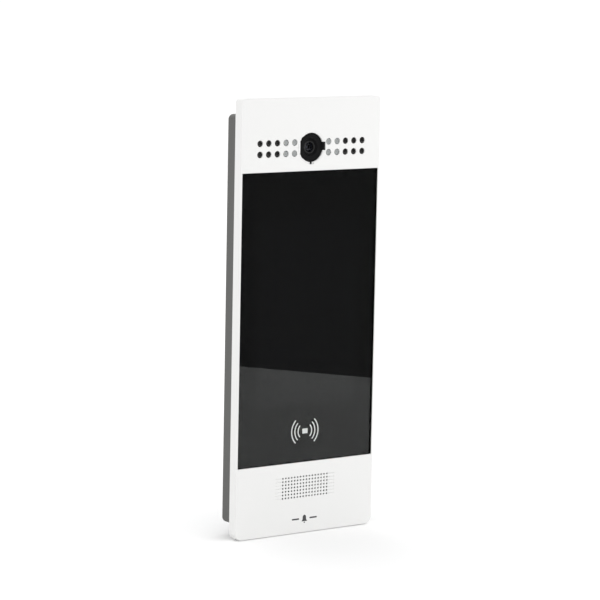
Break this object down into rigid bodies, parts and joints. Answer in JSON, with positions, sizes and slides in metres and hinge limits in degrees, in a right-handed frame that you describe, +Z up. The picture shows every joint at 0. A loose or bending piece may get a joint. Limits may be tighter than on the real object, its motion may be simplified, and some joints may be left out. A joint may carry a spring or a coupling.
{
  "type": "video doorbell",
  "caption": "Slim wall-mounted video door station: camera with lamp rows, tall touch glass over a screen, card reader mark, sound grille, rear housing and lift-off wall bracket.",
  "frame": {"origin": "on the wall plane, at the middle of the bracket's rear face level with the middle of the front panel", "axes": "+Z up, +X to the right of a person who faces the unit, the front looks along -Y and +Y goes into the wall"},
  "size_m": [0.137, 0.032, 0.36],
  "materials": {
    "white_paint": "satin white powder coat on aluminium",
    "black_glass": "polished glass with black print behind it",
    "tape": "black foam tape",
    "touch_film": "clear film",
    "lcd_glass": "dark unlit screen",
    "zinc_steel": "zinc-plated sheet steel",
    "screw_steel": "plated screw",
    "polyimide": "amber film",
    "black_plastic": "fine moulded texture",
    "lens_glass": "coated lens",
    "circuit_board": "solder mask",
    "clear_epoxy": "clear lamp",
    "smoked_epoxy": "infrared lamp",
    "mesh_cloth": "woven acoustic mesh",
    "foam": "closed-cell foam",
    "paper_cone": "pressed paper",
    "ferrite": "sintered magnet",
    "black_rubber": "moulded rubber",
    "grey_housing": "fine spark-eroded texture",
    "tinned_can": "tinned steel",
    "nickel_cell": "nickel-plated cell",
    "chip_resin": "moulded chip",
    "cream_plastic": "connector plastic",
    "can_aluminium": "capacitor can",
    "jack_nickel": "nickel-plated shell",
    "green_plastic": "terminal plastic",
    "white_plastic": "acetal",
    "red_plastic": "button cap",
    "spring_steel": "spring wire"
  },
  "bodies": {
    "wall_bracket": {"wall_bracket": "zinc_steel"},
    "door_unit": {"front_panel": "white_paint", "cover_glass": "black_glass", "glass_adhesive": "tape", "touch_sensor": "touch_film", "lcd_panel": "lcd_glass", "lcd_backlight_frame": "zinc_steel", "lcd_bracket": "zinc_steel", "display_flex_cable": "polyimide", "camera_bezel": "black_plastic", "lens_ring": "black_plastic", "front_lens": "lens_glass", "camera_barrel": "black_plastic", "camera_sensor_board": "circuit_board", "led_board": "circuit_board", "led_light_baffle": "black_plastic", "white_leds": "clear_epoxy", "infrared_leds": "smoked_epoxy", "led_board_screws": "screw_steel", "presence_sensor_board": "circuit_board", "light_sensor": "clear_epoxy", "range_sensors": "smoked_epoxy", "rfid_antenna_board": "circuit_board", "speaker_mesh": "mesh_cloth", "speaker_gasket": "foam", "speaker_basket": "black_plastic", "speaker_cone": "paper_cone", "speaker_magnet": "ferrite", "microphone_boot": "black_rubber", "microphone": "zinc_steel", "rear_housing": "grey_housing", "perimeter_seal": "black_rubber", "bay_liner": "black_plastic", "main_board": "circuit_board", "processor_shield": "tinned_can", "backup_battery": "nickel_cell", "memory_module": "chip_resin", "flex_connector": "cream_plastic", "relay": "chip_resin", "power_capacitors": "can_aluminium", "ethernet_jack": "jack_nickel", "terminal_blocks": "green_plastic", "board_screws": "screw_steel", "tamper_switch": "chip_resin", "tamper_spring": "spring_steel", "reset_switch": "zinc_steel", "housing_screws": "screw_steel", "display_screws": "screw_steel", "security_screws": "screw_steel"},
    "tamper_plunger": {"tamper_plunger": "white_plastic"},
    "reset_button": {"reset_button": "red_plastic"}
  },
  "joints": [
    {"name": "unit_lift_off", "type": "slide", "parent": "wall_bracket", "child": "door_unit", "axis": [0, 0, 1], "range_m": [0, 0.007]},
    {"name": "tamper_press", "type": "slide", "parent": "door_unit", "child": "tamper_plunger", "axis": [0, -1, 0], "range_m": [0, 0.002], "stiffness_N_per_m": 150, "deforming": ["tamper_spring"]},
    {"name": "reset_press", "type": "slide", "parent": "door_unit", "child": "reset_button", "axis": [0, -1, 0], "range_m": [0, 0.0005], "stiffness_N_per_m": 600}
  ]
}
